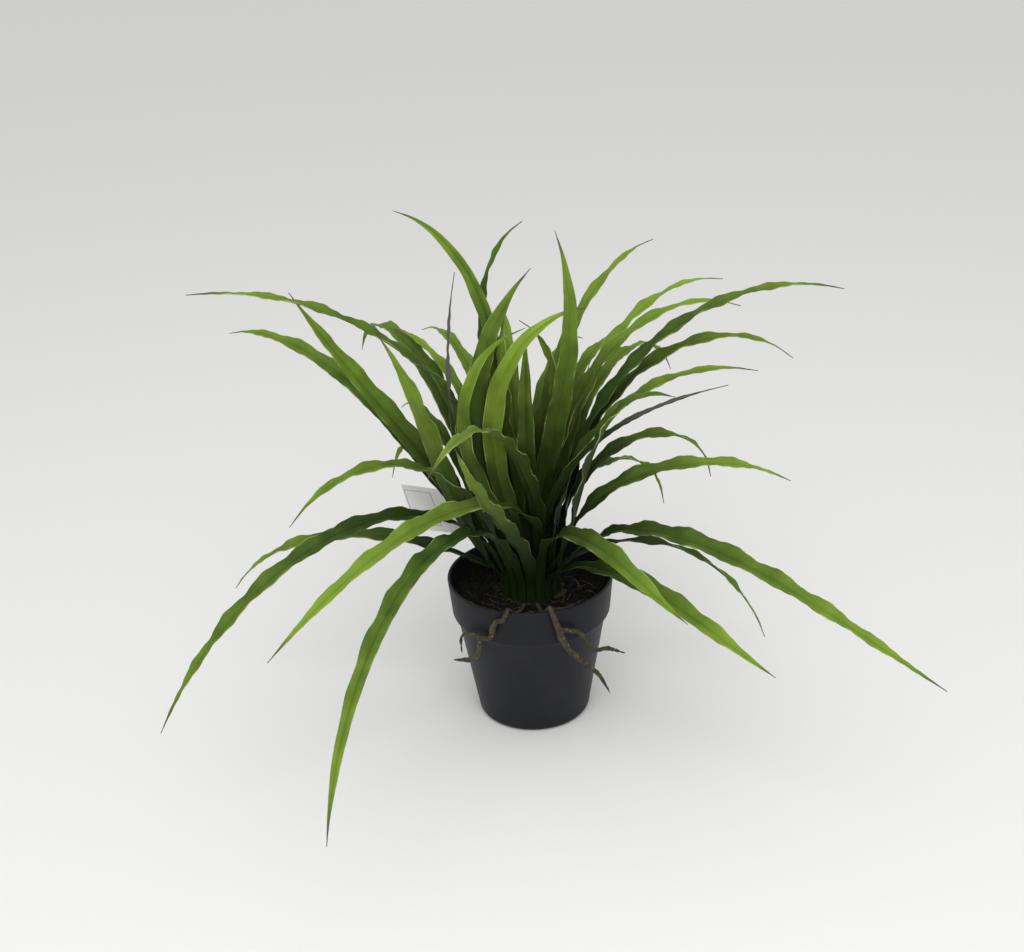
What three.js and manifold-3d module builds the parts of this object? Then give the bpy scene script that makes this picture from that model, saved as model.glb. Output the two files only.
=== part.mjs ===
// A spider plant standing in a tapered pot of soil, with a few loose rootlets and a card tag.
// Millimetres, +Z up. The origin is the middle of the pot's flat underside, and -Y is the front.
import * as THREE from 'three';
import { mergeVertices } from 'three/addons/utils/BufferGeometryUtils.js';
import Module from 'manifold-3d';

const wasm = await Module();
wasm.setup();

// Pot: a tapered body, a shoulder that steps out, and a deep rim band.
const potHeight = 110;
const rimRadius = 60;
const bandFootRadius = 57.5;
const bandHeight = 27;
const shoulderHeight = 7;
const bodyTopRadius = 53.5;
const baseRadius = 41.3;
const baseRounding = 5;
const potWall = 2;
const potFloor = 3;
const lipRadius = potWall / 2;
const roundSides = 48;

// Pieces that stand in or on each other keep this gap all round.
const gap = 0.3;

// Soil: a low mound that fills the pot, with a plain round hole for the crown.
const soilAtWall = 95.5;
const soilAtCrown = 97;
const soilUnevenness = 0.7;

// Crown: the low dome that holds the feet of all the leaves.
const crownRadius = 26;
const crownFoot = 88;
const crownEdge = 97;
const crownTop = 101;
const slotFloor = 91;

// Leaves: their feet stand in rings, at equal steps round each ring from its first place.
const rings = [
  { radius: 5.8, places: 4, first: 75 },
  { radius: 11.5, places: 10, first: 0 },
  { radius: 17, places: 15, first: 0 },
  { radius: 22.5, places: 20, first: 0 },
];
const bladeThickness = 0.8;
const footWidth = 5.6;
const tipWidth = 1.2;
const foldAngle = 20;
const neckLength = 14;
const stationStep = 17;
const waveHeight = 1.3;
const waveScallop = 0.07;
const turnEnds = 0.3;

// Rootlets: round, 6 sides, and tapered to a point. Each stop is a place and the radius there.
const rootSides = 6;
const rootStep = 5;
const rootLeft = [
  // From beside the crown, over the rim, down the band, and out to the left under the shoulder.
  [
    [-5, -29, 100, 1.4], [-10, -42, 100.5, 1.5], [-14, -51, 105, 1.6], [-16.5, -56, 112.6, 1.8],
    [-18, -60.5, 110.5, 1.9], [-20, -60.5, 106, 2], [-26, -58, 103, 2], [-28, -57.5, 97, 2.4],
    [-28.5, -57, 91, 2], [-32, -54.5, 88.5, 2], [-37, -51, 87, 2.4], [-37.5, -50, 80, 1.8],
    [-39, -48.5, 72, 2.4], [-44, -43, 65, 2.2], [-50, -35, 60, 1.6], [-58, -20, 51, 0.5],
  ],
  // A thin side root that hangs by itself.
  [
    [-36, -51, 88, 1.6], [-42, -46, 87.5, 1.4], [-48, -40, 85, 1.3], [-51, -36, 78, 1.2], [-51, -34, 65, 0.4],
  ],
  // Another that lies along the soil.
  [
    [-9, -40, 100.5, 1.3], [-18, -40, 100, 1.2], [-30, -34, 99.5, 1.1], [-38, -29, 99.5, 1],
    [-44, -20, 99.2, 0.5],
  ],
];
const rootRight = [
  // From beside the crown, over the rim, and down to the right in front of the pot.
  [
    [4, -29, 100, 1.4], [7, -42, 100.5, 1.5], [10, -51, 105, 1.7], [12, -57, 112.8, 2],
    [14, -61.5, 110, 2.1], [16, -62, 104, 2.2], [18, -61.5, 97, 2.6], [20, -60.5, 90, 2.8],
    [25, -58, 79, 2.3], [32, -54, 69, 2.4], [38, -50, 61, 1.8], [44, -46, 53, 1.8],
    [48, -42, 45, 1.6], [55, -34, 26, 0.4],
  ],
  // The upper branch, which runs to the right edge and points away to the side.
  [
    [18, -61.5, 98, 1.8], [24, -59.5, 95.5, 1.8], [32, -56, 92, 1.9], [37, -52, 83, 1.6],
    [40, -50, 74, 1.5], [45, -45, 70, 1.6], [52, -38, 67, 1.8], [67, -21, 52, 0.4],
  ],
  // A thin root across the soil.
  [
    [7, -40, 100.5, 1.2], [16, -38, 100, 1.1], [27, -34, 99.5, 1], [36, -24, 99.2, 0.5],
  ],
];

// Tag: a bare card with one punched hole, hung by a thin loop from a leaf at the back. It leans
// far back, so that it shows its face to the sky.
const cardWidth = 97;
const cardHeight = 46.5;
const cardThickness = 0.6;
const cardCorner = 2;
const holeRadius = 1.5;
const holeFromEnd = 4;
const holeBelowMiddle = 10;
const cardMiddle = new THREE.Vector3(-45.5, 44, 137.9);
const cardLean = -68.9;
const cardTilt = 20.5;
const cardYaw = 24;
const loopRadius = 0.35;
const loopSteps = 48;
const loopStops = [
  [-4.1, 51.6, 120.3], [-5.5, 52.2, 117.5], [-0.5, 54.3, 115.8], [1.7, 54.1, 118.2],
  [-13.4, 36.4, 128.5], [-15.6, 33.1, 130.6], [-11.8, 30.3, 133], [-7.2, 32.4, 132.5],
  [-6.6, 35.4, 130.4],
];

// Each leaf has a ring and a place on it. heading is its compass direction in degrees, 0 to the
// right and 90 to the back, and swing turns it further towards the tip. foot, mid and tip say how
// steeply it climbs there, in degrees above the level; past 90 it leans back over its own foot.
// twist rolls the blade about its own line, and width is the blade's widest.
const leaves = [
  // Left side, the high ones first.
  { ring: 2, place: 7, heading: 144, swing: 8, length: 307, foot: 78, mid: 87, tip: 7, twist: -65, width: 11 },
  { ring: 1, place: 5, heading: 194, swing: -6, length: 355, foot: 91, mid: 49, tip: -1, twist: -10, width: 13 },
  { ring: 2, place: 8, heading: 180, length: 270, foot: 67, mid: 55, tip: 60, twist: -45, width: 16 },
  { ring: 3, place: 9, heading: 158, swing: -15, length: 304, foot: 53, mid: 42, tip: -18, twist: -20, width: 15 },
  { ring: 3, place: 11, heading: 211, length: 230, foot: 55, mid: 73, tip: 60, twist: 45, width: 14 },
  { ring: 2, place: 6, heading: 128, swing: -15, length: 305, foot: 62, mid: 38, tip: -62, width: 16 },
  { ring: 1, place: 4, heading: 129, swing: -5, length: 242, foot: 84, mid: 49, tip: -10, width: 10 },
  { ring: 2, place: 5, heading: 113, swing: 5, length: 255, foot: 80, mid: 45, tip: -28, width: 12 },
  { ring: 2, place: 9, heading: 207, length: 254, foot: 60, mid: 82, tip: 104, twist: 10, width: 9 },
  { ring: 3, place: 8, heading: 120, swing: -10, length: 220, foot: 63, mid: 25, tip: -36, width: 9 },
  { ring: 3, place: 7, heading: 122, length: 250, foot: 70, mid: 0, tip: -70, width: 9 },
  { ring: 3, place: 13, heading: 221, length: 265, foot: 72, mid: 38, tip: -42, twist: -10, width: 13 },
  { ring: 3, place: 10, heading: 175, swing: -20, length: 242, foot: 32, mid: -5, tip: -56, twist: -10, width: 13 },
  { ring: 3, place: 12, heading: 217, swing: -10, length: 355, foot: 76, mid: -9, tip: -60, twist: -10, width: 13 },
  // Front, from left to right.
  { ring: 3, place: 15, heading: 250, length: 235, foot: 58, mid: 45, tip: 60, width: 13 },
  { ring: 2, place: 12, heading: 230, swing: -15, length: 325, foot: 85, mid: 6, tip: -36, twist: -15, width: 14 },
  { ring: 3, place: 14, heading: 244, swing: 7, length: 385, foot: 66, mid: -3, tip: -71, twist: -10, width: 12 },
  { ring: 1, place: 8, heading: 252, length: 325, foot: 72, mid: 42, tip: -12, twist: -10, width: 12 },
  { ring: 1, place: 6, heading: 195, length: 255, foot: 68, mid: 90, tip: 137, twist: 70, width: 17 },
  { ring: 1, place: 7, heading: 192, length: 250, foot: 78, mid: 91, tip: 180, twist: 70, width: 14 },
  { ring: 2, place: 11, heading: 197, length: 240, foot: 73, mid: 74, tip: 172, twist: 60, width: 10 },
  { ring: 3, place: 16, heading: -62, length: 232, foot: 90, mid: 6, tip: 0, twist: 15, width: 15 },
  { ring: 3, place: 17, heading: -52, length: 240, foot: 50, mid: -2, tip: -6, twist: 15, width: 15 },
  { ring: 3, place: 18, heading: -50, swing: 32, length: 345, foot: 64, mid: -5, tip: -30, twist: 15, width: 14 },
  { ring: 2, place: 13, heading: -40, swing: -10, length: 230, foot: 48, mid: 70, tip: 0, twist: 30, width: 16 },
  { ring: 3, place: 19, heading: -2, swing: 20, length: 232, foot: 90, mid: 16, tip: -32, twist: 15, width: 13 },
  // Middle, the upright ones.
  { ring: 0, place: 1, heading: 140, length: 288, foot: 94, mid: 79, tip: 150, twist: 60, width: 12 },
  { ring: 0, place: 2, heading: 172, length: 218, foot: 84, mid: 84, tip: 103, twist: 50, width: 14 },
  { ring: 0, place: 3, heading: -35, length: 270, foot: 94, mid: 76, tip: 113, twist: -60, width: 14 },
  { ring: 0, place: 0, heading: 86, length: 198, foot: 80, mid: 97, tip: 15, width: 12 },
  { ring: 1, place: 3, heading: 94, length: 230, foot: 82, mid: 57, tip: 2, width: 13 },
  { ring: 1, place: 1, heading: 35, length: 213, foot: 98, mid: 80, tip: 149, twist: 20, width: 10 },
  { ring: 2, place: 2, heading: 30, length: 165, foot: 75, mid: 74, tip: 70, twist: -50, width: 14 },
  // Right side, the high ones first.
  { ring: 1, place: 2, heading: 44, swing: 3, length: 294, foot: 90, mid: 62, tip: -1, width: 11 },
  { ring: 2, place: 1, heading: 34, swing: -8, length: 288, foot: 81, mid: 59, tip: -16, width: 12 },
  { ring: 1, place: 0, heading: 18, swing: -3, length: 290, foot: 87, mid: 58, tip: -25, twist: 10, width: 12 },
  { ring: 2, place: 0, heading: 4, length: 340, foot: 87, mid: 48, tip: -16, twist: 10, width: 13 },
  { ring: 3, place: 1, heading: 7, length: 294, foot: 84, mid: 48, tip: -44, twist: 10, width: 13 },
  { ring: 2, place: 14, heading: -10, length: 256, foot: 89, mid: 52, tip: -10, twist: 22, width: 10 },
  { ring: 1, place: 9, heading: -32, swing: 16, length: 240, foot: 96, mid: 47, tip: 18, twist: -66, width: 9 },
  { ring: 3, place: 3, heading: 54, length: 277, foot: 77, mid: 33, tip: -63, width: 12 },
  { ring: 3, place: 2, heading: 16, swing: 8, length: 213, foot: 83, mid: 24, tip: -85, twist: 10, width: 11 },
  { ring: 3, place: 4, heading: 47, length: 224, foot: 45, mid: -4, tip: -81, width: 9 },
  { ring: 3, place: 0, heading: -4, length: 206, foot: 47, mid: -25, tip: -71, width: 8 },
  // Back, the low ones that hang behind the pot.
  { ring: 2, place: 3, heading: 58, length: 230, foot: 82, mid: 47, tip: -15, width: 13 },
  { ring: 2, place: 4, heading: 70, length: 245, foot: 81, mid: 39, tip: -27, width: 13 },
  { ring: 3, place: 5, heading: 78, length: 300, foot: 62, mid: 5, tip: -62, width: 15 },
  { ring: 3, place: 6, heading: 102, length: 285, foot: 60, mid: 8, tip: -55, width: 14 },
];

const plastic = new THREE.MeshStandardMaterial({ color: 0x28292e, roughness: 0.55, metalness: 0 });
const earth = new THREE.MeshStandardMaterial({ color: 0x1c1e14, roughness: 0.95, metalness: 0 });
const stump = new THREE.MeshStandardMaterial({ color: 0x39401f, roughness: 0.8, metalness: 0 });
const leafGreen = new THREE.MeshStandardMaterial({ color: 0x4f7a26, roughness: 0.5, metalness: 0 });
const rootBark = new THREE.MeshStandardMaterial({ color: 0x4b4132, roughness: 0.6, metalness: 0 });
const card = new THREE.MeshStandardMaterial({ color: 0xe1dede, roughness: 0.7, metalness: 0 });
const nylon = new THREE.MeshStandardMaterial({ color: 0xdcdcd8, roughness: 0.4, metalness: 0 });

const plant = new THREE.Group();

function add(name, geometry, material) {
  const mesh = new THREE.Mesh(geometry, material);
  mesh.name = name;
  plant.add(mesh);
  return mesh;
}

function radians(degrees) {
  return THREE.MathUtils.degToRad(degrees);
}

// Closed meshes become solids so that holes can be cut in them, and come back as meshes.
function solidOf(geometry) {
  const bare = geometry.clone();
  bare.deleteAttribute('normal');
  bare.deleteAttribute('uv');
  const joined = mergeVertices(bare, 1e-4);
  return new wasm.Manifold(new wasm.Mesh({
    numProp: 3,
    vertProperties: Float32Array.from(joined.attributes.position.array),
    triVerts: Uint32Array.from(joined.index.array),
  }));
}

function geometryOf(solid) {
  const mesh = solid.getMesh();
  const geometry = new THREE.BufferGeometry();
  geometry.setAttribute('position', new THREE.BufferAttribute(mesh.vertProperties, 3));
  geometry.setIndex(new THREE.BufferAttribute(mesh.triVerts, 1));
  return geometry;
}

// A profile of radius and height, turned round the upright axis.
function turned(profile) {
  const points = profile.map(([radius, height]) => new THREE.Vector2(radius, height));
  return new THREE.LatheGeometry(points, roundSides).rotateX(Math.PI / 2);
}

// A rounded corner of a profile, from one angle to another about its centre.
function corner(radius, height, size, from, to, steps) {
  const points = [];
  for (let i = 0; i <= steps; i += 1) {
    const angle = radians(from + (to - from) * i / steps);
    points.push([radius + size * Math.cos(angle), height + size * Math.sin(angle)]);
  }
  return points;
}

// Pot: the outside from the base up, over the lip, and down the inside to the floor.
const bandFoot = potHeight - bandHeight;
const bodyTop = bandFoot - shoulderHeight;

function potProfile() {
  return [
    [0, 0],
    ...corner(baseRadius - baseRounding, baseRounding, baseRounding, -90, 0, 4),
    [bodyTopRadius, bodyTop],
    [bandFootRadius, bandFoot],
    ...corner(rimRadius - lipRadius, potHeight - lipRadius, lipRadius, 0, 180, 4),
    [bandFootRadius - potWall, bandFoot],
    [bodyTopRadius - potWall, bodyTop],
    [baseRadius - potWall, baseRounding],
    [baseRadius - baseRounding, potFloor],
    [0, potFloor],
  ];
}

add('pot', turned(potProfile()), plastic);

// Soil: its side follows the inside of the pot, and its top is a little uneven.
function soilGeometry() {
  const side = potWall + gap;
  const bandSlope = (rimRadius - bandFootRadius) / bandHeight;
  const wallRadius = bandFootRadius - side + bandSlope * (soilAtWall - bandFoot);
  const holeRadius = crownRadius + gap;
  const top = [];
  for (const share of [0, 0.25, 0.5, 0.75, 1]) {
    const radius = THREE.MathUtils.lerp(wallRadius, holeRadius, share);
    const rise = (soilAtCrown - soilAtWall) * Math.sin(share * Math.PI / 2);
    top.push([radius, soilAtWall + rise]);
  }
  const geometry = turned([
    [0, potFloor + gap],
    [baseRadius - baseRounding - gap, potFloor + gap],
    [baseRadius - side, baseRounding],
    [bodyTopRadius - side, bodyTop],
    [bandFootRadius - side, bandFoot],
    ...top,
    [holeRadius, crownFoot],
    [0, crownFoot],
  ]);
  const position = geometry.attributes.position;
  for (let i = 0; i < position.count; i += 1) {
    const radius = Math.hypot(position.getX(i), position.getY(i));
    const inside = radius > holeRadius + 1 && radius < wallRadius - 1;
    if (inside && position.getZ(i) > soilAtWall) {
      const angle = Math.atan2(position.getY(i), position.getX(i));
      const lump = Math.sin(5 * angle + 0.4 * radius) + Math.sin(11 * angle - 0.3 * radius);
      position.setZ(i, position.getZ(i) + soilUnevenness * lump / 2);
    }
  }
  return geometry;
}

add('soil', soilGeometry(), earth);

// Leaf feet: where each stands, and how high the crown is there.
function seatOf({ ring, place }) {
  const { radius, places, first } = rings[ring];
  const angle = first + place * 360 / places;
  const height = crownTop - (crownTop - crownEdge) * (radius / crownRadius) ** 2;
  return { radius, angle, height };
}

// The blade is folded along its middle, so its edges stand in from its foot by this much.
const footFold = footWidth / 2 * Math.tan(radians(foldAngle));

function slotFor(leaf) {
  const { radius, angle } = seatOf(leaf);
  const depth = footFold + bladeThickness + 2 * gap;
  const height = crownTop + 1 - slotFloor;
  const slot = new THREE.BoxGeometry(depth, footWidth + 2 * gap, height);
  slot.translate(radius + (bladeThickness - footFold) / 2, 0, slotFloor + height / 2);
  slot.rotateZ(radians(angle));
  return slot;
}

// Crown: a low dome with a slot for each leaf.
function crownGeometry() {
  const dome = [];
  for (const share of [1, 0.8, 0.6, 0.4, 0.2]) {
    dome.push([crownRadius * share, crownTop - (crownTop - crownEdge) * share ** 2]);
  }
  let crown = solidOf(turned([
    [0, crownFoot + gap],
    [crownRadius, crownFoot + gap],
    ...dome,
    [0, crownTop],
  ]));
  for (const leaf of leaves) {
    crown = crown.subtract(solidOf(slotFor(leaf)));
  }
  return geometryOf(crown);
}

add('crown', crownGeometry(), stump);

// A repeatable run of numbers from 0 to 1, so that every leaf has waves of its own.
function randomFrom(seed) {
  let state = seed;
  return () => {
    state = (state * 1664525 + 1013904223) % 4294967296;
    return state / 4294967296;
  };
}

// How wide a blade is at a share of its length: narrow foot, broad middle, pointed tip.
function widthAt(share, width) {
  const opening = THREE.MathUtils.smoothstep(share, 0, 0.45);
  const closing = Math.max(0, (share - 0.5) / 0.5) ** 1.7;
  return THREE.MathUtils.lerp(THREE.MathUtils.lerp(footWidth, width, opening), tipWidth, closing);
}

// The line that a blade follows, as stations with a middle point and the blade's own directions.
function leafStations(leaf) {
  const { heading, swing = 0, length, foot, mid, tip, twist = 0 } = leaf;
  const { radius, angle, height } = seatOf(leaf);
  const turn = THREE.MathUtils.euclideanModulo(heading - angle + 180, 360) - 180;
  const steps = Math.round((length - neckLength) / stationStep);
  const step = (length - neckLength) / steps;
  const bearing = (share) => {
    const blend = THREE.MathUtils.smoothstep(share, 0, turnEnds);
    return {
      blend,
      climb: radians(foot * (1 - share) * (1 - 2 * share) + mid * 4 * share * (1 - share)
        + tip * share * (2 * share - 1)),
      compass: radians(angle + turn * blend + swing * share * share),
    };
  };
  const axes = (climb, compass, roll) => {
    const out = new THREE.Vector3(Math.cos(compass), Math.sin(compass), 0);
    const along = out.clone().multiplyScalar(Math.cos(climb)).setZ(Math.sin(climb));
    const side = new THREE.Vector3(-Math.sin(compass), Math.cos(compass), 0);
    side.applyAxisAngle(along, radians(roll));
    return { along, side, up: along.clone().cross(side) };
  };
  const foothold = new THREE.Vector3(radius, 0, slotFloor + gap);
  foothold.applyAxisAngle(new THREE.Vector3(0, 0, 1), radians(angle));
  const stations = [{ point: foothold, share: 0, ...axes(Math.PI / 2, radians(angle), 0) }];
  const point = foothold.clone().setZ(height + neckLength);
  for (let i = 0; i <= steps; i += 1) {
    const share = i / steps;
    const { blend, climb, compass } = bearing(share);
    stations.push({ point: point.clone(), share, ...axes(climb, compass, twist * blend) });
    const ahead = bearing((i + 0.5) / steps);
    point.addScaledVector(axes(ahead.climb, ahead.compass, 0).along, step);
  }
  return stations;
}

// A blade: three lines along its top face and the same three under it, with waved edges.
function leafGeometry(leaf, seed) {
  const random = randomFrom(seed);
  const fold = Math.tan(radians(foldAngle));
  const stations = leafStations(leaf);
  const points = [];
  stations.forEach(({ point, side, up, share }, index) => {
    const wave = (index % 2 ? 1 : -1) * Math.min(1, 5 * share, 4 * (1 - share));
    const half = widthAt(share, leaf.width) / 2;
    const edge = (sign) => {
      const swell = wave * (0.6 + 0.7 * random());
      const reach = half * (1 + sign * swell * waveScallop);
      const lift = half * fold + sign * swell * waveHeight;
      return point.clone().addScaledVector(side, sign * reach).addScaledVector(up, lift);
    };
    const top = [edge(1), point, edge(-1)];
    const under = top.map((spot) => spot.clone().addScaledVector(up, -bladeThickness));
    points.push(...top, ...under.reverse());
  });
  const faces = [];
  for (let a = 0; a + 6 < points.length; a += 6) {
    const b = a + 6;
    faces.push([a, a + 1, b], [a + 1, b + 1, b]);
    faces.push([a + 1, a + 2, b + 2], [a + 1, b + 2, b + 1]);
    faces.push([a + 2, a + 3, b + 3], [a + 2, b + 3, b + 2]);
    faces.push([a + 3, a + 4, b + 3], [a + 4, b + 4, b + 3]);
    faces.push([a + 4, a + 5, b + 5], [a + 4, b + 5, b + 4]);
    faces.push([a + 5, a, b], [a + 5, b, b + 5]);
  }
  const end = points.length - 6;
  faces.push([1, 0, 5], [1, 5, 4], [1, 4, 3], [1, 3, 2]);
  faces.push([end, end + 1, end + 5], [end + 5, end + 1, end + 4]);
  faces.push([end + 4, end + 1, end + 3], [end + 3, end + 1, end + 2]);
  const geometry = new THREE.BufferGeometry().setFromPoints(points);
  geometry.setIndex(faces.flat());
  return geometry;
}

leaves.forEach((leaf, index) => {
  const number = String(index + 1).padStart(2, '0');
  add(`leaf_${number}`, leafGeometry(leaf, index + 1), leafGreen);
});

// A tube: a ring of points at each step of a curve. It has a cap at each end unless it joins itself.
function tubeGeometry(curve, steps, sides, radiusAt, closed) {
  const frames = curve.computeFrenetFrames(steps, closed);
  const ringCount = closed ? steps : steps + 1;
  const points = [];
  for (let i = 0; i < ringCount; i += 1) {
    const middle = curve.getPointAt(i / steps);
    for (let k = 0; k < sides; k += 1) {
      const angle = 2 * Math.PI * k / sides;
      const point = middle.clone();
      point.addScaledVector(frames.normals[i], radiusAt(i / steps) * Math.cos(angle));
      point.addScaledVector(frames.binormals[i], radiusAt(i / steps) * Math.sin(angle));
      points.push(point);
    }
  }
  const faces = [];
  for (let i = 0; i < steps; i += 1) {
    for (let k = 0; k < sides; k += 1) {
      const next = (k + 1) % sides;
      const here = i * sides;
      const ahead = (i + 1) % ringCount * sides;
      faces.push([here + k, here + next, ahead + k], [here + next, ahead + next, ahead + k]);
    }
  }
  if (!closed) {
    const end = steps * sides;
    for (let k = 1; k + 1 < sides; k += 1) {
      faces.push([0, k + 1, k], [end, end + k, end + k + 1]);
    }
  }
  const geometry = new THREE.BufferGeometry().setFromPoints(points);
  geometry.setIndex(faces.flat());
  return geometry;
}

// Rootlets: every branch is a tube through its stops, and branches that meet are joined.
function rootGeometry(branches) {
  const solids = branches.map((stops) => {
    const curve = new THREE.CatmullRomCurve3(stops.map(([x, y, z]) => new THREE.Vector3(x, y, z)));
    const thickness = new THREE.CatmullRomCurve3(stops.map((stop) => new THREE.Vector3(stop[3], 0, 0)));
    const steps = Math.round(curve.getLength() / rootStep);
    const radiusAt = (share) => thickness.getPoint(curve.getUtoTmapping(share)).x;
    return solidOf(tubeGeometry(curve, steps, rootSides, radiusAt, false));
  });
  return geometryOf(solids.reduce((joined, solid) => joined.add(solid)));
}

add('root_left', rootGeometry(rootLeft), rootBark);
add('root_right', rootGeometry(rootRight), rootBark);

// Card: a rectangle with rounded corners and a hole near its right end.
function cardGeometry() {
  const right = cardWidth / 2;
  const top = cardHeight / 2;
  const outline = new THREE.Shape();
  outline.absarc(right - cardCorner, top - cardCorner, cardCorner, 0, Math.PI / 2);
  outline.absarc(cardCorner - right, top - cardCorner, cardCorner, Math.PI / 2, Math.PI);
  outline.absarc(cardCorner - right, cardCorner - top, cardCorner, Math.PI, 3 * Math.PI / 2);
  outline.absarc(right - cardCorner, cardCorner - top, cardCorner, 3 * Math.PI / 2, 2 * Math.PI);
  const hole = new THREE.Path();
  hole.absarc(right - holeFromEnd, -holeBelowMiddle, holeRadius, 0, 2 * Math.PI, true);
  outline.holes.push(hole);
  const sheet = new THREE.ExtrudeGeometry(outline, { depth: cardThickness, curveSegments: 5, bevelEnabled: false });
  return sheet.translate(0, 0, -cardThickness / 2).rotateX(Math.PI / 2);
}

const tagCard = add('tag_card', cardGeometry(), card);
tagCard.rotation.set(radians(cardLean), radians(cardTilt), radians(cardYaw), 'ZYX');
tagCard.position.copy(cardMiddle);

function loopGeometry() {
  const curve = new THREE.CatmullRomCurve3(loopStops.map(([x, y, z]) => new THREE.Vector3(x, y, z)), true);
  return tubeGeometry(curve, loopSteps, rootSides, () => loopRadius, true);
}

add('tag_loop', loopGeometry(), nylon);

export default plant;
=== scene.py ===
"""The looks of a potted spider plant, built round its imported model.
Metres, +Z up, -Y at the front, and the origin is the middle of the pot's flat underside."""
import itertools
import math
import random

import bmesh
import bpy
import numpy as np
from mathutils import Matrix, Vector, noise


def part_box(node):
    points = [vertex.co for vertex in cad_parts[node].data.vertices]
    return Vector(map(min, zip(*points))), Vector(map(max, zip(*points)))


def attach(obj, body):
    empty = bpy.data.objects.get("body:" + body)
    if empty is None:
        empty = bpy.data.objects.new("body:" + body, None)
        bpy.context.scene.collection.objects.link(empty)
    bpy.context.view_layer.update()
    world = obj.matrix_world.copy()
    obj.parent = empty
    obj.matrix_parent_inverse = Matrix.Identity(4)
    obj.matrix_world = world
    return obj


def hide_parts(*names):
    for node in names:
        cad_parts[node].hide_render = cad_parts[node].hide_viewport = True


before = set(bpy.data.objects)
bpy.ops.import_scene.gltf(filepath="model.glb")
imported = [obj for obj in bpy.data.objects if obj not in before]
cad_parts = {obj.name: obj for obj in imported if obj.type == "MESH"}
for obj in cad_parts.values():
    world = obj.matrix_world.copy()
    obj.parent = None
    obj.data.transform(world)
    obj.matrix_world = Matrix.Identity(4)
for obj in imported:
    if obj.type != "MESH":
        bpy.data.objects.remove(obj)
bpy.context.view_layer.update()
scene = bpy.context.scene
scene.view_settings.view_transform = "Standard"
MM = 0.001

# Camera: in front of the pot and well above it, looking down, and rolled a little to one side as a
# camera held in the hand is.
camera_place = Vector((-5, -948, 621)) * MM
camera_yaw = math.radians(0.322)
camera_pitch = math.radians(24.579)
camera_roll = math.radians(2.292)
focal_length_pixels = 1483
picture_width_pixels = 1024
farthest_seen = 60

lens = bpy.data.cameras.new("camera")
lens.sensor_width = 36
lens.lens = lens.sensor_width * focal_length_pixels / picture_width_pixels
lens.clip_end = farthest_seen
forward = Vector((
    -math.sin(camera_yaw) * math.cos(camera_pitch),
    math.cos(camera_yaw) * math.cos(camera_pitch),
    -math.sin(camera_pitch),
))
level = Vector((math.cos(camera_yaw), math.sin(camera_yaw), 0))
upright = level.cross(forward)
across_view = math.cos(camera_roll) * level - math.sin(camera_roll) * upright
up_view = math.sin(camera_roll) * level + math.cos(camera_roll) * upright
camera = bpy.data.objects.new("camera", lens)
scene.collection.objects.link(camera)
camera.matrix_world = Matrix((across_view, up_view, -forward)).transposed().to_4x4()
camera.location = camera_place
scene.camera = camera


# Floor: one wide plain sheet of matt white paper, far larger than the picture shows. It is not part
# of the plant. The helpers for materials start here, because it is the first thing with one.
floor_radius = 12
floor_colour = (234, 234, 233)


def colour(red, green, blue):
    """A colour as a picture shows it, 0 to 255, as the linear values that a shader takes."""
    values = [c / 255 for c in (red, green, blue)]
    return [c / 12.92 if c < 0.04045 else ((c + 0.055) / 1.055) ** 2.4 for c in values] + [1]


class Wire:
    """A socket's value, so that shader maths is written as Python sums."""

    def __init__(self, finish, socket):
        self.finish = finish
        self.socket = socket

    def maths(self, operation, first, second):
        return self.finish.add("ShaderNodeMath", {"operation": operation}, {0: first, 1: second})

    def __add__(self, other):
        return self.maths("ADD", self, other)

    def __radd__(self, other):
        return self.maths("ADD", other, self)

    def __sub__(self, other):
        return self.maths("SUBTRACT", self, other)

    def __rsub__(self, other):
        return self.maths("SUBTRACT", other, self)

    def __mul__(self, other):
        return self.maths("MULTIPLY", self, other)

    def __rmul__(self, other):
        return self.maths("MULTIPLY", other, self)

    def __abs__(self):
        return self.finish.add("ShaderNodeMath", {"operation": "ABSOLUTE"}, {0: self})


class Finish:
    """A material with a Principled shader, built up node by node."""

    def __init__(self, name, specular):
        self.material = bpy.data.materials.new(name)
        self.material.use_nodes = True
        self.tree = self.material.node_tree
        self.shader = self.tree.nodes["Principled BSDF"]
        self.shader.inputs["Specular IOR Level"].default_value = specular

    def add(self, kind, settings, sockets, output=0):
        node = self.tree.nodes.new(kind)
        for key, value in settings.items():
            setattr(node, key, value)
        for key, value in sockets.items():
            self.give(node.inputs[key], value)
        return Wire(self, node.outputs[output])

    def give(self, socket, value):
        if isinstance(value, Wire):
            self.tree.links.new(value.socket, socket)
        else:
            socket.default_value = value

    def place(self):
        return self.add("ShaderNodeTexCoord", {}, {}, "Object")

    def noise(self, vector, scale, detail=3.0):
        return self.add("ShaderNodeTexNoise", {}, {"Vector": vector, "Scale": scale, "Detail": detail})

    def rise(self, value, start, end):
        """0 up to start, 1 from end, and a smooth slope between them."""
        sockets = {"Value": value, "From Min": start, "From Max": end}
        return self.add("ShaderNodeMapRange", {"interpolation_type": "SMOOTHSTEP"}, sockets)

    def mix(self, share, first, second):
        """From the first colour, at a share of 0, to the second."""
        return self.add("ShaderNodeMix", {"data_type": "RGBA"}, {0: share, 6: first, 7: second}, 2)

    def paint(self, base, roughness, height, depth):
        """Sets what varies over the surface. Depth is how far the relief of height stands out."""
        bump = self.add("ShaderNodeBump", {}, {"Height": height, "Distance": depth})
        self.give(self.shader.inputs["Base Color"], base)
        self.give(self.shader.inputs["Roughness"], roughness)
        self.give(self.shader.inputs["Normal"], bump)
        return self.material


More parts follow.
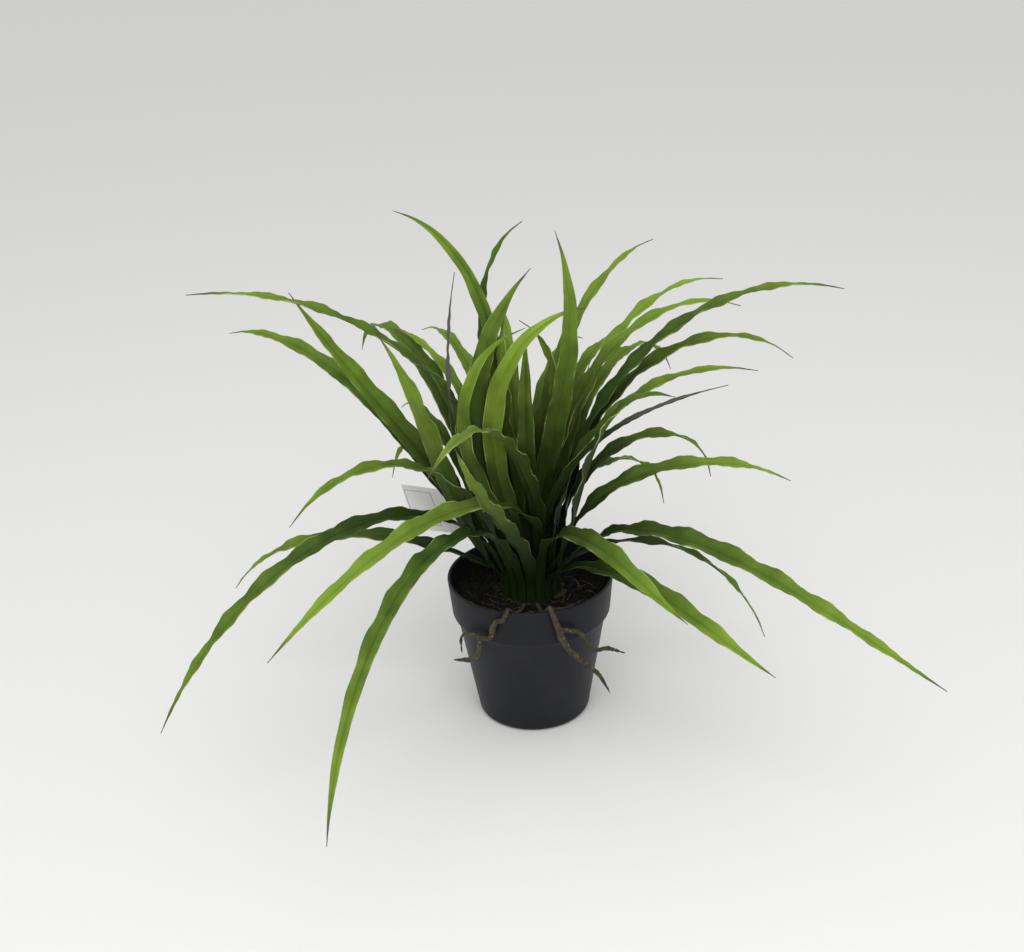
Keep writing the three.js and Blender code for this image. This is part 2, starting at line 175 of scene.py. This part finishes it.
bpy.ops.object.select_all(action="DESELECT")
bpy.ops.mesh.primitive_circle_add(vertices=96, radius=floor_radius, fill_type="NGON")
floor = bpy.context.object
floor.name = "floor"
paper = Finish("white_paper", specular=0.2)
grain = paper.noise(paper.place(), 300.0)
floor.data.materials.append(paper.paint(
    base=paper.mix(grain, colour(*floor_colour), colour(*[c + 2 for c in floor_colour])),
    roughness=0.85 + 0.1 * grain,
    height=grain,
    depth=0.05 * MM,
))

# Light: a pale sky all round that is brightest overhead, and one wide soft lamp above and in front
# of the plant, so that the shadows are faint.
sky_low = 0.64
sky_high = 0.78
lamp_place = Vector((0, -1.2, 1.5))
lamp_size = 1.5
lamp_power = 18
sky_colour = (1, 1, 0.99, 1)

world = bpy.data.worlds.new("sky")
world.use_nodes = True
scene.world = world
sky_nodes = world.node_tree.nodes
sky_links = world.node_tree.links
sky_direction = sky_nodes.new("ShaderNodeTexCoord")
sky_split = sky_nodes.new("ShaderNodeSeparateXYZ")
sky_strength = sky_nodes.new("ShaderNodeMapRange")
sky_strength.inputs["To Min"].default_value = sky_low
sky_strength.inputs["To Max"].default_value = sky_high
sky_links.new(sky_direction.outputs["Generated"], sky_split.inputs[0])
sky_links.new(sky_split.outputs["Z"], sky_strength.inputs["Value"])
sky_links.new(sky_strength.outputs[0], sky_nodes["Background"].inputs["Strength"])
sky_nodes["Background"].inputs["Color"].default_value = sky_colour

lamp = bpy.data.lights.new("lamp", "AREA")
lamp.shape = "DISK"
lamp.size = lamp_size
lamp.energy = lamp_power
lamp_holder = bpy.data.objects.new("lamp", lamp)
scene.collection.objects.link(lamp_holder)
lamp_holder.location = lamp_place
lamp_holder.rotation_euler = (-lamp_place).to_track_quat("-Z", "Y").to_euler()

# Pot: one moulding of matt charcoal plastic with a deep rim band, a sloping shoulder under it and a
# tapered body. It is spun from its profile, and its edges are rounded.
pot_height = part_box("pot")[1].z
rim_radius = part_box("pot")[1].x
band_height = 27 * MM
band_foot_radius = 57.5 * MM
shoulder_height = 7 * MM
body_top_radius = 53.5 * MM
base_radius = 41.3 * MM
base_rounding = 5 * MM
pot_wall = 2 * MM
pot_floor = 3 * MM
foot_ring = 2 * MM
foot_recess = 0.8 * MM
foot_slope = 1 * MM
edge_rounding = 1.4 * MM
pot_sides = 128


def arc(radius, height, size, start, end, steps):
    """Points of a round corner of a profile, from one angle in degrees to another."""
    angles = np.radians(np.linspace(start, end, steps + 1))
    return [(radius + size * math.cos(a), height + size * math.sin(a)) for a in angles]


def activate(piece):
    bpy.ops.object.select_all(action="DESELECT")
    piece.select_set(True)
    bpy.context.view_layer.objects.active = piece


def turned(name, profile, sides):
    """A closed round shape, spun about the upright axis from points of radius and height."""
    mesh = bpy.data.meshes.new(name)
    edges = [(i, i + 1) for i in range(len(profile) - 1)]
    mesh.from_pydata([(radius, 0, height) for radius, height in profile], edges, [])
    piece = bpy.data.objects.new(name, mesh)
    scene.collection.objects.link(piece)
    activate(piece)
    bpy.ops.object.mode_set(mode="EDIT")
    bpy.ops.mesh.select_all(action="SELECT")
    bpy.ops.mesh.spin(steps=sides, angle=2 * math.pi, center=(0, 0, 0), axis=(0, 0, 1))
    bpy.ops.mesh.select_all(action="SELECT")
    bpy.ops.mesh.remove_doubles(threshold=0.01 * MM)
    bpy.ops.mesh.normals_make_consistent(inside=False)
    bpy.ops.object.mode_set(mode="OBJECT")
    return piece


def finished(piece, kind, **settings):
    """Adds a modifier and applies it."""
    activate(piece)
    modifier = piece.modifiers.new(kind.lower(), kind)
    for key, value in settings.items():
        setattr(modifier, key, value)
    bpy.ops.object.modifier_apply(modifier=modifier.name)


def smooth(piece, degrees):
    activate(piece)
    bpy.ops.object.shade_smooth_by_angle(angle=math.radians(degrees))


band_foot = pot_height - band_height
body_top = band_foot - shoulder_height
lip = pot_wall / 2
pot = turned("pot_shell", [
    (0, foot_recess),
    (base_radius - base_rounding - foot_ring - foot_slope, foot_recess),
    (base_radius - base_rounding - foot_ring, 0),
    *arc(base_radius - base_rounding, base_rounding, base_rounding, -90, 0, 8),
    (body_top_radius, body_top),
    (band_foot_radius, band_foot),
    *arc(rim_radius - lip, pot_height - lip, lip, 0, 180, 10),
    (band_foot_radius - pot_wall, band_foot),
    (body_top_radius - pot_wall, body_top),
    (base_radius - pot_wall, base_rounding),
    (base_radius - base_rounding, pot_floor),
    (0, pot_floor),
], pot_sides)
finished(
    pot, "BEVEL",
    width=edge_rounding, segments=4, limit_method="ANGLE", angle_limit=math.radians(22),
)
smooth(pot, 35)
plastic = Finish("charcoal_plastic", specular=0.22)
pot_place = plastic.place()
pot_grain = plastic.noise(pot_place, 1500.0, 2.0)
pot_cloud = plastic.noise(pot_place, 28.0, 4.0)
pot_dust = plastic.rise(pot_cloud, 0.5, 0.75)
pot.data.materials.append(plastic.paint(
    base=plastic.mix(0.35 * pot_dust, colour(22, 23, 29), colour(42, 42, 48)),
    roughness=0.42 + 0.16 * pot_cloud,
    height=pot_grain,
    depth=0.05 * MM,
))
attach(pot, "root")
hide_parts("pot")

# Soil: dark damp crumbs heaped a little towards the crown. The bed is spun and then roughened, loose
# crumbs of several sizes are half sunk in it, and thin dry root fibres lie on its front half.
soil_at_wall = 95.5 * MM
soil_at_crown = 97 * MM
soil_depth = 12 * MM
soil_gap = 0.3 * MM
soil_edge = 1.2 * MM
soil_sides = 200
soil_rings = 48
soil_lumps = ((14 * MM, 1.1 * MM), (4 * MM, 0.7 * MM), (1.5 * MM, 0.4 * MM))
crown_radius = 26 * MM
crumb_count = 900
crumb_sizes = (0.5 * MM, 1.9 * MM)
fibre_count = 34
fibre_steps = 9
fibre_radius = 0.35 * MM
fibre_lengths = (10 * MM, 26 * MM)
fibre_hops = (0.2 * MM, 2.2 * MM)
fibre_bend = 1.5

wall_slope = (rim_radius - band_foot_radius) / band_height
soil_radius = band_foot_radius - pot_wall + wall_slope * (soil_at_wall - band_foot) - soil_gap


def soil_level(x, y):
    """How high the bed lies there: a low mound with lumps and pits of three sizes."""
    share = min(1, math.hypot(x, y) / soil_radius)
    level = soil_at_crown + (soil_at_wall - soil_at_crown) * share ** 2
    for size, height in soil_lumps:
        level += height * noise.noise(Vector((x, y, 0)) / size)
    return level


soil = turned("soil_bed", [
    (0, soil_at_wall - soil_depth),
    (soil_radius - soil_edge, soil_at_wall - soil_depth),
    *[(radius, soil_at_wall) for radius in np.linspace(soil_radius, 0, soil_rings)],
], soil_sides)
for vertex in soil.data.vertices:
    if vertex.co.z > soil_at_wall - 1 * MM:
        vertex.co.z = soil_level(vertex.co.x, vertex.co.y)
chance = random.Random(5)
bpy.ops.mesh.primitive_ico_sphere_add(subdivisions=1, radius=1)
crumb = bpy.context.object
crumb_points = np.array([v.co[:] for v in crumb.data.vertices])
crumb_faces = np.array([f.vertices[:] for f in crumb.data.polygons])
bpy.data.objects.remove(crumb)
points = []
for _ in range(crumb_count):
    angle = chance.uniform(0, 2 * math.pi)
    reach = soil_radius * math.sqrt(chance.uniform(0.1, 0.93))
    size = crumb_sizes[0] + (crumb_sizes[1] - crumb_sizes[0]) * chance.random() ** 2.5
    x, y = reach * math.cos(angle), reach * math.sin(angle)
    turn = Matrix.Rotation(chance.uniform(0, 6), 3, Vector((chance.random(), 1, chance.random())))
    stretch = size * np.array([1, chance.uniform(0.6, 1), chance.uniform(0.5, 0.9)])
    uneven = [1 + 0.4 * noise.noise(Vector(p) * 1.1 + 9 * Vector((reach, angle, 0))) for p in crumb_points]
    lump = (crumb_points * np.array(uneven)[:, None] * stretch) @ np.array(turn)
    points.append(lump + [x, y, soil_level(x, y) + 0.2 * size])
faces = [crumb_faces + k * len(crumb_points) for k in range(crumb_count)]
crumb_mesh = bpy.data.meshes.new("crumbs")
crumb_mesh.from_pydata(np.concatenate(points), [], np.concatenate(faces))
loose = bpy.data.objects.new("crumbs", crumb_mesh)
scene.collection.objects.link(loose)
activate(soil)
loose.select_set(True)
bpy.ops.object.join()
earth = Finish("dark_soil", specular=0.12)
earth_place = earth.place()
earth_patch = earth.noise(earth_place, 90.0, 4.0)
earth_grit = earth.noise(earth_place, 1100.0, 4.0)
earth_brown = earth.mix(earth.rise(earth_grit, 0.4, 0.75), colour(12, 13, 10), colour(31, 29, 20))
moss_share = 0.8 * earth.rise(earth_patch, 0.52, 0.68)
soil.data.materials.clear()
soil.data.materials.append(earth.paint(
    base=earth.mix(moss_share, earth_brown, colour(23, 28, 13)),
    roughness=0.85 + 0.15 * earth_grit,
    height=earth_grit,
    depth=0.4 * MM,
))
threads = bpy.data.curves.new("fibres", "CURVE")
threads.dimensions = "3D"
threads.bevel_depth = fibre_radius
threads.bevel_resolution = 1
threads.use_fill_caps = True
for _ in range(fibre_count):
    angle = math.radians(chance.uniform(180, 360))
    reach = chance.uniform(crown_radius + 3 * MM, soil_radius - 6 * MM)
    heading = angle + math.pi / 2 + chance.gauss(0, 0.5)
    length = chance.uniform(*fibre_lengths)
    bend = chance.uniform(-fibre_bend, fibre_bend)
    hop = chance.uniform(*fibre_hops)
    thread = threads.splines.new("POLY")
    thread.points.add(fibre_steps - 1)
    x, y = reach * math.cos(angle), reach * math.sin(angle)
    for step, point in enumerate(thread.points):
        share = step / (fibre_steps - 1)
        out = min(1, (soil_radius - 2 * MM) / math.hypot(x, y))
        x, y = x * out, y * out
        point.co = (x, y, soil_level(x, y) + 0.3 * MM + hop * math.sin(math.pi * share), 1)
        point.radius = 1 - 0.6 * share
        x += length / fibre_steps * math.cos(heading + bend * share)
        y += length / fibre_steps * math.sin(heading + bend * share)
fibres = bpy.data.objects.new("fibres", threads)
scene.collection.objects.link(fibres)
straw = Finish("dry_fibre", specular=0.15)
straw_grain = straw.noise(straw.place(), 500.0)
straw_tone = straw.rise(straw_grain, 0.35, 0.65)
threads.materials.append(straw.paint(
    base=straw.mix(straw_tone, colour(34, 30, 21), colour(92, 82, 58)),
    roughness=0.6 + 0.3 * straw_grain,
    height=straw_grain,
    depth=0.1 * MM,
))
activate(fibres)
bpy.ops.object.convert(target="MESH")
activate(soil)
fibres.select_set(True)
bpy.ops.object.join()
smooth(soil, 60)
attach(soil, "root")
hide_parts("soil")

# Crown: the low stump that the leaves grow from, brown-green and fibrous, ribbed from its middle to
# its edge. It is spun and then roughened.
crown_foot = 88.3 * MM
crown_edge = 97 * MM
crown_top = 101 * MM
crown_ribs = 44
rib_height = 0.5 * MM
rib_depth = 0.4 * MM
crown_lumps = (5 * MM, 1.1 * MM)

dome_shares = np.linspace(1, 0, 27)
crown = turned("crown_stump", [
    (0, crown_foot),
    (crown_radius, crown_foot),
    *[(crown_radius * s, crown_top - (crown_top - crown_edge) * s ** 2) for s in dome_shares],
], 220)
for vertex in crown.data.vertices:
    if vertex.co.z > crown_edge - 1 * MM:
        share = math.hypot(vertex.co.x, vertex.co.y) / crown_radius
        angle = math.atan2(vertex.co.y, vertex.co.x)
        lumps = crown_lumps[1] * noise.noise(vertex.co / crown_lumps[0])
        vertex.co.z += rib_height * share * math.sin(crown_ribs * angle) - rib_depth + lumps
smooth(crown, 60)
stump = Finish("crown_fibre", specular=0.15)
stump_place = stump.place()
stump_spots = stump.noise(stump_place, 260.0, 5.0)
stump_fine = stump.noise(stump_place, 1400.0, 3.0)
crown.data.materials.append(stump.paint(
    base=stump.mix(stump.rise(stump_spots, 0.35, 0.65), colour(26, 30, 13), colour(58, 50, 31)),
    roughness=0.7 + 0.2 * stump_fine,
    height=stump_fine,
    depth=0.3 * MM,
))
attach(crown, "root")
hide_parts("crown")

# Leaves: 48 long arching blades, each folded along its midrib, with waved edges that are pale and
# thin, and a tip that has gone grey-brown. Each is a fine grid laid along the lines of its own
# solid, from foot to tip, and then given its thickness.
leaf_count = 48
leaf_foot = 91.3 * MM
freshness_range = (0.25, 0.39)
# The first list of leaves is made lighter and the second darker. This is partly their own fresher and
# deeper greens, and partly painted light and painted shade on leaves that lie lit and in shade.
fresh_and_lit_gain = 0.16
deep_and_shaded_loss = 0.15
fresh_and_lit_leaves = (7, 16, 20, 23, 26, 35)
deep_and_shaded_leaves = (14, 19, 25, 27, 30, 33, 37, 47, 48)
dry_leaves = (9, 40)
dry_tint = -0.6
dry_curl = 0.5
dry_curl_share = 0.5
row_step = 2.5 * MM
columns_across = 12
blade_thickness = 0.5 * MM
rib_groove = 0.05 * MM
blade_arch = 0.10
ruffle_height = 0.35 * MM
ruffle_length = 11 * MM
taper_length = 38 * MM
low_breadth = ((0, 0.12, 0.2, 0.55), (0, 0.22, 0.22, 0))
crown_middle = (0, 0, 97 * MM)
# Painted shade: the leaves are darkened over this span of distance from the middle of the crown, standing
# in for the shade deep inside the bush.
painted_shade_reach = (30 * MM, 190 * MM)
orders = np.array(list(itertools.permutations(range(6))))


def leaf_lines(node):
    """The blade's two sides and its middle between them, at each ring of its solid, and its up."""
    solid = bmesh.new()
    solid.from_mesh(node.data)
    bmesh.ops.remove_doubles(solid, verts=solid.verts, dist=0.01 * MM)
    solid.verts.index_update()
    ring = [
        v for v in solid.verts
        if v.co.xy.length < crown_radius and abs(v.co.z - leaf_foot) < 0.1 * MM
    ]
    reached = set(ring)
    rings = []
    while ring:
        rings.append(np.array([v.co[:] for v in ring]))
        beyond = {edge.other_vert(v) for v in ring for edge in v.link_edges} - reached
        reached.update(beyond)
        ring = sorted(beyond, key=lambda v: v.index)
    solid.free()
    centre = rings[0].mean(axis=0)
    outward = np.array([centre[0], centre[1], 0]) / math.hypot(centre[0], centre[1])
    sideways = np.array([-outward[1], outward[0], 0])
    rings[0] = np.array(sorted(
        rings[0],
        key=lambda p: (-round(float((p - centre) @ sideways) / MM), float(p @ outward)),
    ))
    for before, here in zip(rings, rings[1:]):
        moved = (here - here.mean(axis=0))[orders] - (before - before.mean(axis=0))
        here[:] = here[orders[(moved ** 2).sum(axis=(1, 2)).argmin()]]
    corners = np.array(rings).reshape(len(rings), 3, 2, 3)
    up = (corners[:, :, 0] - corners[:, :, 1]).mean(axis=1)
    return corners.mean(axis=2), up / np.linalg.norm(up, axis=1, keepdims=True)


def along(points, stops, places):
    """A smooth curve through points at stops, read at places."""
    steps = np.diff(stops)
    slopes = np.diff(points, axis=0) / steps[:, None]
    inner = slopes[:-1] * steps[1:, None] + slopes[1:] * steps[:-1, None]
    inner /= (steps[1:] + steps[:-1])[:, None]
    tangents = np.concatenate([slopes[:1], inner, slopes[-1:]])
    index = np.clip(np.searchsorted(stops, places, side="right") - 1, 0, len(steps) - 1)
    width = steps[index][:, None]
    t = (places - stops[index])[:, None] / width
    start = (1 + 2 * t) * (1 - t) ** 2 * points[index] + t * (1 - t) ** 2 * width * tangents[index]
    end = t * t * (3 - 2 * t) * points[index + 1] - t * t * (1 - t) * width * tangents[index + 1]
    return start + end


def blade(name, node, seed):
    """The fine leaf that stands for a node."""
    lines, up = leaf_lines(node)
    stops = np.concatenate([[0], np.cumsum(np.linalg.norm(np.diff(lines[:, 1], axis=0), axis=1))])
    rows = round(stops[-1] / row_step)
    bpy.ops.object.select_all(action="DESELECT")
    bpy.ops.mesh.primitive_grid_add(x_subdivisions=rows, y_subdivisions=columns_across, size=2)
    piece = bpy.context.object
    piece.name = name
    grid = np.empty(len(piece.data.vertices) * 3)
    piece.data.vertices.foreach_get("co", grid)
    grid = grid.reshape(-1, 3)
    places = (grid[:, 0] + 1) / 2 * stops[-1]
    left, middle, right = (along(lines[:, k], stops, places) for k in range(3))
    lift = along(up, stops, places)
    lift /= np.linalg.norm(lift, axis=1, keepdims=True)
    side = grid[:, 1:2]
    share = np.abs(side)
    edge = np.where(side > 0, left, right)
    narrowing = np.clip((stops[-1] - places) / taper_length, 0, 1)[:, None] ** 0.6
    part = (places / stops[-1])[:, None]
    breadth = 1 + np.interp(part, *low_breadth)
    if seed in dry_leaves:
        breadth *= 1 - dry_curl * np.clip(part / dry_curl_share, 0, 1)
    own = random.Random(seed)
    turns = np.where(side[:, 0] > 0, own.uniform(0, 6), own.uniform(0, 6))
    ruffle = np.sin(places * 2 * math.pi / (ruffle_length * own.uniform(0.8, 1.2)) + turns)
    half = np.linalg.norm(edge - middle, axis=1, keepdims=True)
    height = blade_arch * half * 4 * share * (1 - share) - rib_groove * (share == 0)
    height += ruffle_height * ruffle[:, None] * share ** 3
    shape = middle + (edge - middle) * share * narrowing * breadth + lift * height * narrowing
    piece.data.vertices.foreach_set("co", shape.ravel())
    tint = piece.data.attributes.new("tint", "FLOAT", "POINT")
    tone_and_painted_light = own.uniform(*freshness_range)
    # Painted light and painted shade for the listed leaves, together with their fresher and deeper greens,
    # on top of a tone that varies at random.
    tone_and_painted_light += fresh_and_lit_gain * (seed in fresh_and_lit_leaves) - deep_and_shaded_loss * (seed in deep_and_shaded_leaves)
    if seed in dry_leaves:
        tone_and_painted_light = dry_tint
    tint.data.foreach_set("value", np.full(len(grid), tone_and_painted_light))
    finished(piece, "SOLIDIFY", thickness=blade_thickness, offset=0)
    smooth(piece, 50)
    return piece


green = Finish("leaf_green", specular=0.14)
leaf_map = green.add("ShaderNodeUVMap", {}, {})
leaf_along = green.add("ShaderNodeSeparateXYZ", {}, {0: leaf_map}, "X")
leaf_across = green.add("ShaderNodeSeparateXYZ", {}, {0: leaf_map}, "Y")
leaf_tint = green.add("ShaderNodeAttribute", {"attribute_name": "tint"}, {}, "Fac")
from_rib = abs(leaf_across * 2.0 - 1.0)
streak_place = green.add(
    "ShaderNodeCombineXYZ", {}, {0: leaf_along * 9.0, 1: leaf_across * 26.0, 2: leaf_tint * 60.0},
)
streaks = green.noise(streak_place, 1.0, 4.0)
mottle = green.noise(green.place(), 55.0, 4.0)
# Leaves are darker towards the foot and lighter towards the tip. This is painted shade inside the bush,
# added to each leaf's tone, mottle and streaks.
leaf_tone_painted_light_and_shade = leaf_tint + 0.9 * (leaf_along - 0.66) + 0.45 * (mottle - 0.5) + 0.25 * (streaks - 0.5)
# Painted shade: close to the middle of the crown the leaves turn to a dark green, and this fades out with
# distance.
from_crown = green.add(
    "ShaderNodeVectorMath", {"operation": "DISTANCE"}, {0: green.place(), 1: crown_middle}, "Value",
)
out_of_painted_shade = green.rise(from_crown, *painted_shade_reach)
leaf_body = green.mix(green.rise(leaf_tone_painted_light_and_shade, -0.1, 1.0), colour(38, 60, 16), colour(134, 163, 54))
leaf_shaded = green.mix(out_of_painted_shade, colour(23, 37, 10), leaf_body)
rib_line = (1.0 - green.rise(from_rib, 0.0, 0.08)) * 0.1
leaf_ribbed = green.mix(rib_line, leaf_shaded, colour(40, 64, 18))
margin_strength = green.rise(mottle, 0.42, 0.68) * green.rise(leaf_along, 0.2, 0.7)
margin = green.rise(from_rib + 0.12 * (streaks - 0.5), 0.89, 0.98) * margin_strength
leaf_edged = green.mix(margin * 0.6, leaf_ribbed, colour(200, 214, 148))
leaf_dry = green.rise(leaf_tint, -0.1, -0.5) * green.rise(leaf_along, 0.6, 0.78)
leaf_aged = green.mix(leaf_dry, leaf_edged, colour(86, 88, 80))
tip_share = green.rise(leaf_along + 0.05 * (streaks - 0.5), 0.925, 0.99)
leaf_skin = green.paint(
    base=green.mix(tip_share, leaf_aged, colour(80, 75, 62)),
    roughness=0.48 + 0.2 * streaks,
    height=streaks,
    depth=0.12 * MM,
)
for number in range(1, leaf_count + 1):
    node_name = f"leaf_{number:02d}"
    leaf = blade(f"blade_{number:02d}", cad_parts[node_name], number)
    leaf.data.materials.append(leaf_skin)
    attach(leaf, "root")
    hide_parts(node_name)

# Rootlets: two knobbly brown roots with side shoots, which climb out over the rim and hang down the
# front. Each is a copy of its solid, joined and remeshed, rounded off, and swollen unevenly.
root_voxel = 0.4 * MM
root_lumps = ((5 * MM, 0.5 * MM), (1.6 * MM, 0.22 * MM))

bark = Finish("root_bark", specular=0.3)
bark_place = bark.place()
bark_patch = bark.noise(bark_place, 130.0, 3.0)
bark_fine = bark.noise(bark_place, 900.0, 4.0)
bark_brown = bark.mix(bark.rise(bark_fine, 0.35, 0.7), colour(33, 29, 23), colour(78, 66, 47))
bark_olive = bark.mix(bark.rise(bark_patch, 0.5, 0.66) * 0.6, bark_brown, colour(74, 78, 38))
bark_nodes = bark.rise(bark.noise(bark_place, 210.0, 1.0), 0.62, 0.74)
bark_skin = bark.paint(
    base=bark.mix(bark_nodes * 0.6, bark_olive, colour(128, 118, 96)),
    roughness=0.55 + 0.25 * bark_fine,
    height=bark_fine,
    depth=0.35 * MM,
)


def joined_copy(name, node):
    """A copy of a node's mesh as one closed skin."""
    piece = bpy.data.objects.new(name, node.data.copy())
    scene.collection.objects.link(piece)
    piece.data.materials.clear()
    activate(piece)
    bpy.ops.object.mode_set(mode="EDIT")
    bpy.ops.mesh.select_all(action="SELECT")
    bpy.ops.mesh.remove_doubles(threshold=0.01 * MM)
    bpy.ops.object.mode_set(mode="OBJECT")
    return piece


for side_name in ("left", "right"):
    root = joined_copy(f"rootlets_{side_name}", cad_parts[f"root_{side_name}"])
    finished(root, "REMESH", mode="VOXEL", voxel_size=root_voxel)
    finished(root, "SMOOTH", factor=0.5, iterations=8)
    root.data.update()
    for vertex in root.data.vertices:
        swell = sum(h * noise.noise(vertex.co / size) for size, h in root_lumps)
        vertex.co += vertex.normal * swell
    smooth(root, 60)
    root.data.materials.append(bark_skin)
    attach(root, "root")
    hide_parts(f"root_{side_name}")

# Tag: a card with one punched hole, kept as it is in the model, with a plain thin border printed at
# its left end, and a thin nylon loop through the hole and round a leaf, which is its solid made round.
card_middle = (-45.5 * MM, 44 * MM, 137.9 * MM)
card_turns = [math.radians(a) for a in (-68.9, 20.5, 24)]
border_middle = -36.7 * MM
border_size = (21.5 * MM, 35 * MM)
border_width = 0.45 * MM

board = Finish("white_card", specular=0.4)
board_grain = board.noise(board.place(), 700.0, 4.0)
on_card = board.add(
    "ShaderNodeMapping", {"vector_type": "TEXTURE"},
    {"Vector": board.place(), "Location": card_middle, "Rotation": card_turns},
)
beside = abs(board.add("ShaderNodeSeparateXYZ", {}, {0: on_card}, "X") - border_middle) - border_size[0] / 2
above = abs(board.add("ShaderNodeSeparateXYZ", {}, {0: on_card}, "Z")) - border_size[1] / 2
to_border = abs(beside.maths("MAXIMUM", beside, above))
border = 1.0 - board.rise(to_border, 0.4 * border_width, 0.6 * border_width)
board_white = board.mix(board_grain, colour(248, 246, 246), colour(253, 252, 251))
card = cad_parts["tag_card"]
card.data.materials.clear()
card.data.materials.append(board.paint(
    base=board.mix(border * 0.8, board_white, colour(104, 90, 92)),
    roughness=0.5 + 0.2 * board_grain,
    height=board_grain,
    depth=0.03 * MM,
))

nylon = Finish("clear_nylon", specular=0.5)
nylon_grain = nylon.noise(nylon.place(), 2500.0, 2.0)
loop = joined_copy("tag_thread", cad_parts["tag_loop"])
bpy.ops.object.mode_set(mode="EDIT")
bpy.ops.mesh.select_all(action="SELECT")
bpy.ops.mesh.tris_convert_to_quads()
bpy.ops.object.mode_set(mode="OBJECT")
finished(loop, "SUBSURF", levels=1, render_levels=1)
smooth(loop, 60)
loop.data.materials.append(nylon.paint(
    base=nylon.mix(nylon_grain, colour(205, 206, 200), colour(228, 228, 224)),
    roughness=0.25 + 0.1 * nylon_grain,
    height=nylon_grain,
    depth=0.01 * MM,
))
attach(loop, "root")
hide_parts("tag_loop")
